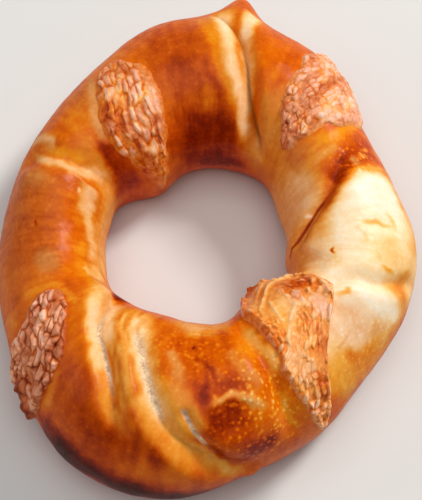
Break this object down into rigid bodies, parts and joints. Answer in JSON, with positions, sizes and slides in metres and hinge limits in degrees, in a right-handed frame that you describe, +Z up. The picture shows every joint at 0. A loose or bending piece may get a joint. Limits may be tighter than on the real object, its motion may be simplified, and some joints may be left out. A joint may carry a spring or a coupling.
{
  "type": "cheese bread",
  "caption": "Ring-shaped loaf of rolled, folded dough with a round hole and crusts of browned melted cheese on its glazed crust.",
  "frame": {"origin": "middle of the flat underside's outline, on the surface the bread rests on", "axes": "+Z up through the crown of the loaf, +Y along its longest side, +X across; seen from above"},
  "size_m": [0.1426, 0.1809, 0.0502],
  "materials": {
    "bread_crust": "egg-washed baked crust, satin, orange brown with pale cream where the dough opened in the folds",
    "melted_cheese": "browned melted cheese, pebbled, pinkish tan with red brown creases",
    "golden_cheese": "melted cheese, golden orange with darker spots and pale blisters, slightly oily"
  },
  "bodies": {
    "root": {"bread_ring": "bread_crust", "cheese_crust_upper_left": "melted_cheese", "cheese_crust_upper_right": "melted_cheese", "cheese_crust_lower_right": "golden_cheese", "cheese_crust_left": "melted_cheese"}
  },
  "joints": []
}
